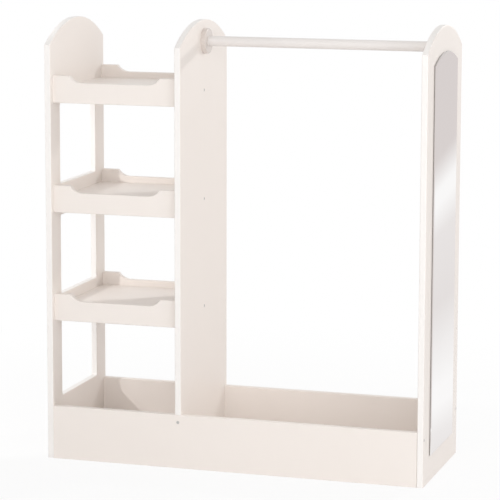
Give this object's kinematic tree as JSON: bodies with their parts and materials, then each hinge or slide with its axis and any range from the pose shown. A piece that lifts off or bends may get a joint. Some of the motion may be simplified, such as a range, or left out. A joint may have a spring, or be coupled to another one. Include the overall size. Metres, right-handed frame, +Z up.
{
  "type": "dress-up storage unit",
  "caption": "White children's dress-up storage unit with arched panels, scooped trays, a toy bin, a hanging rod and an arched side mirror",
  "frame": {"origin": "On the floor under the centre of the whole unit's box, the mirror included", "axes": "+X across the unit towards the mirrored end, +Y from the open front to the rear, +Z up"},
  "size_m": [0.972, 0.368, 1.0999],
  "materials": {
    "painted_board": "satin",
    "painted_wood": "satin",
    "mirror_face": "polished",
    "screw_steel": "zinc plated",
    "beech": "raw",
    "foam_tape": "matte"
  },
  "bodies": {
    "carcase": {"left_panel": "painted_board", "middle_panel": "painted_board", "right_panel": "painted_board", "front_panel": "painted_board", "back_panel": "painted_board", "left_bin_floor": "painted_board", "right_bin_floor": "painted_board", "left_front_cleat": "beech", "left_back_cleat": "beech", "right_front_cleat": "beech", "right_back_cleat": "beech", "lower_tray_front_rail": "painted_board", "lower_tray_back_rail": "painted_board", "lower_tray_shelf": "painted_board", "middle_tray_front_rail": "painted_board", "middle_tray_back_rail": "painted_board", "middle_tray_shelf": "painted_board", "top_tray_front_rail": "painted_board", "top_tray_back_rail": "painted_board", "top_tray_shelf": "painted_board", "left_rod_socket": "painted_wood", "right_rod_socket": "painted_wood", "arched_mirror": "mirror_face", "mirror_tape": "foam_tape", "left_panel_screws": "screw_steel", "middle_panel_screws": "screw_steel", "right_panel_screws": "screw_steel", "front_panel_screws": "screw_steel", "back_panel_screws": "screw_steel", "cleat_screws": "screw_steel", "socket_screws": "screw_steel", "bin_dowels": "beech", "tray_dowels": "beech"},
    "rod": {"hanging_rod": "painted_wood"}
  },
  "joints": [
    {"name": "rod_spin", "type": "hinge", "parent": "carcase", "child": "rod", "pos_m": [0.167, 0, 1.0468], "axis": [1, 0, 0], "continuous": true}
  ]
}
